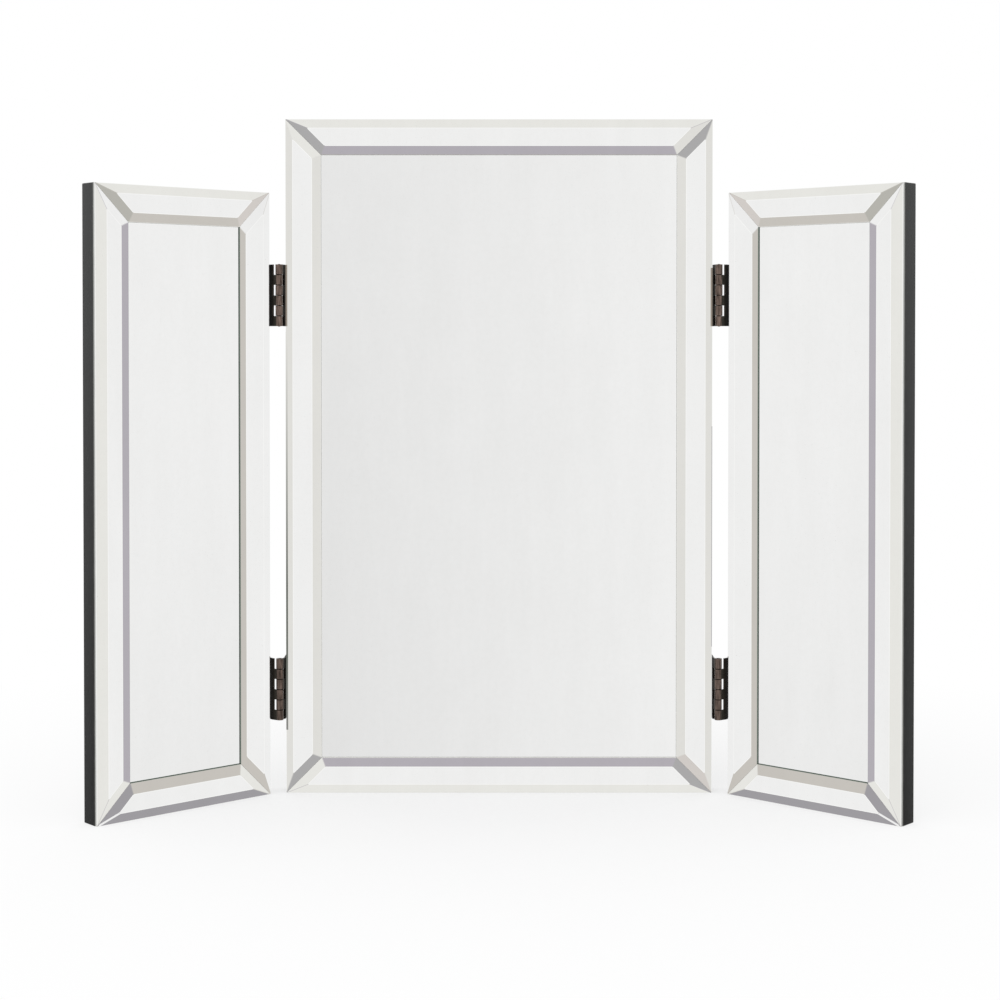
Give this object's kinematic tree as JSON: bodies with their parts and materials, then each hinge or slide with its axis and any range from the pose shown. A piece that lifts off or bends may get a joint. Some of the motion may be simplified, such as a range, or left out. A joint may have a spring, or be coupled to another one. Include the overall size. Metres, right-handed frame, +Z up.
{
  "type": "dressing table mirror",
  "caption": "Free-standing dressing table mirror: a tall centre panel with narrower wings on butt hinges, each a plain mirror plate framed by mitred, bevelled mirror strips.",
  "frame": {"origin": "middle of the centre board's bottom face, on the table", "axes": "+X to the viewer's right along the mirror's width, +Y away from the viewer through the boards, +Z up; the mirrors face -Y; the rest pose is the one in the picture, with the wings folded 41.5 degrees forward"},
  "size_m": [0.6368, 0.1295, 0.55],
  "materials": {
    "mirror_glass": "silvered glass, polished bevels",
    "painted_board": "fibreboard painted matt charcoal",
    "hinge_bronze": "steel with an antique bronze finish, rubbed brighter on the knuckles"
  },
  "bodies": {
    "centre": {"centre_backing_board": "painted_board", "centre_bottom_strip": "mirror_glass", "centre_hinge_screws": "hinge_bronze", "centre_left_strip": "mirror_glass", "centre_mirror_plate": "mirror_glass", "centre_right_strip": "mirror_glass", "centre_top_strip": "mirror_glass", "left_lower_hinge_centre_leaf": "hinge_bronze", "left_lower_hinge_pin": "hinge_bronze", "left_upper_hinge_centre_leaf": "hinge_bronze", "left_upper_hinge_pin": "hinge_bronze", "right_lower_hinge_centre_leaf": "hinge_bronze", "right_lower_hinge_pin": "hinge_bronze", "right_upper_hinge_centre_leaf": "hinge_bronze", "right_upper_hinge_pin": "hinge_bronze"},
    "left_wing": {"left_lower_hinge_wing_leaf": "hinge_bronze", "left_upper_hinge_wing_leaf": "hinge_bronze", "left_wing_backing_board": "painted_board", "left_wing_bottom_strip": "mirror_glass", "left_wing_hinge_screws": "hinge_bronze", "left_wing_inner_strip": "mirror_glass", "left_wing_mirror_plate": "mirror_glass", "left_wing_outer_strip": "mirror_glass", "left_wing_top_strip": "mirror_glass"},
    "right_wing": {"right_lower_hinge_wing_leaf": "hinge_bronze", "right_upper_hinge_wing_leaf": "hinge_bronze", "right_wing_backing_board": "painted_board", "right_wing_bottom_strip": "mirror_glass", "right_wing_hinge_screws": "hinge_bronze", "right_wing_inner_strip": "mirror_glass", "right_wing_mirror_plate": "mirror_glass", "right_wing_outer_strip": "mirror_glass", "right_wing_top_strip": "mirror_glass"}
  },
  "joints": [
    {"name": "left_wing_swing", "type": "hinge", "parent": "centre", "child": "left_wing", "pos_m": [-0.1782, -0.018, 0.245], "axis": [0, 0, 1], "range_deg": [-51.5, 138.5]},
    {"name": "right_wing_swing", "type": "hinge", "parent": "centre", "child": "right_wing", "pos_m": [0.1782, -0.018, 0.245], "axis": [0, 0, -1], "range_deg": [-51.5, 138.5]}
  ]
}
